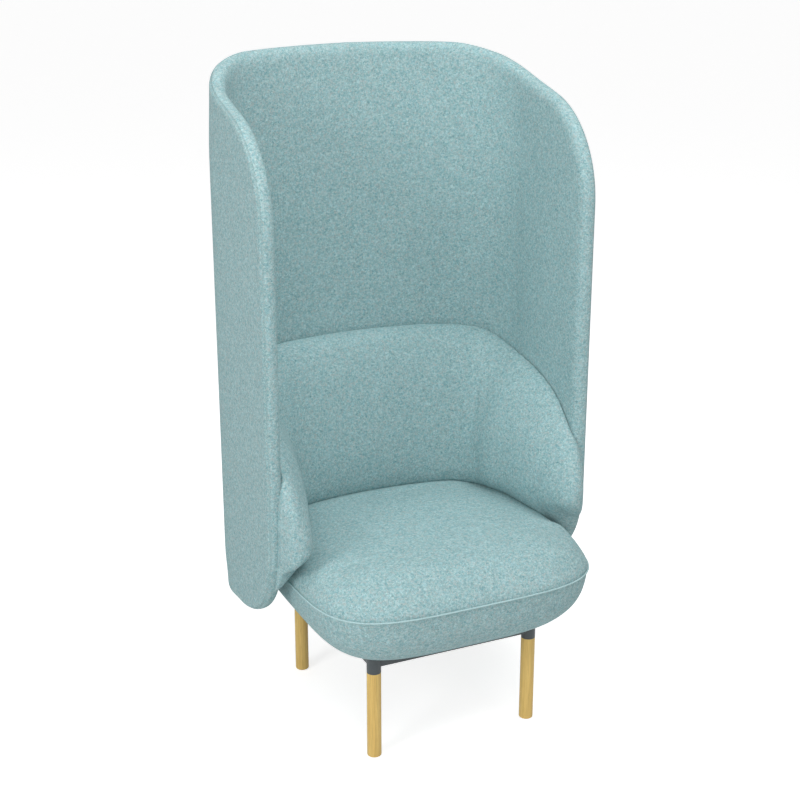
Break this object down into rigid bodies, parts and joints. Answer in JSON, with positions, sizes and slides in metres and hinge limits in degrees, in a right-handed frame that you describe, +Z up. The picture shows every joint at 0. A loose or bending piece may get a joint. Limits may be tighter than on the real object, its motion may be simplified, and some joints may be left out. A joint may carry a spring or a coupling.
{
  "type": "acoustic high back lounge chair",
  "caption": "Lounge chair with a crowned seat and a padded backrest and arms inside a tall curved upholstered sound screen, on round wooden legs in a steel frame.",
  "frame": {"origin": "on the floor midway between the four legs, which is also the middle of the chair's footprint", "axes": "+Z up, the chair faces -Y, +X is the right as seen by someone facing the chair"},
  "size_m": [0.731, 0.6759, 1.397],
  "materials": {
    "upholstery": "heathered wool felt in pale blue-green",
    "welt_fabric": "smooth paler blue-green welt",
    "lining_cloth": "black non-woven dust cloth",
    "leg_wood": "clear matt lacquer on pale ash",
    "plywood": "raw birch plywood",
    "frame_paint": "satin dark slate powder coat",
    "fastener_steel": "zinc plated",
    "glide_plastic": "matt"
  },
  "bodies": {
    "root": {"arm_cushion_left": "upholstery", "arm_cushion_right": "upholstery", "back_cushion": "upholstery", "bracket_bolts": "fastener_steel", "bracket_nuts": "fastener_steel", "bracket_screws": "fastener_steel", "bracket_spacers": "fastener_steel", "front_crossbar": "frame_paint", "leg_bolts": "fastener_steel", "leg_front_left": "leg_wood", "leg_front_right": "leg_wood", "leg_glides": "glide_plastic", "leg_rear_left": "leg_wood", "leg_rear_right": "leg_wood", "rear_crossbar": "frame_paint", "screen_bracket_left": "frame_paint", "screen_bracket_right": "frame_paint", "screen_core": "plywood", "screen_inner_pad": "upholstery", "screen_outer_pad": "upholstery", "screen_piping": "welt_fabric", "seat_board": "plywood", "seat_foam_base": "upholstery", "seat_foam_top": "upholstery", "seat_mount_plates": "frame_paint", "seat_screws": "fastener_steel", "seat_tee_nuts": "fastener_steel", "seat_underside_cloth": "lining_cloth", "seat_welt": "welt_fabric", "side_rail_left": "frame_paint", "side_rail_right": "frame_paint", "socket_front_left": "frame_paint", "socket_front_right": "frame_paint", "socket_rear_left": "frame_paint", "socket_rear_right": "frame_paint", "tub_bolts": "fastener_steel", "tub_panel": "plywood", "tub_tee_nuts": "fastener_steel"}
  },
  "joints": []
}
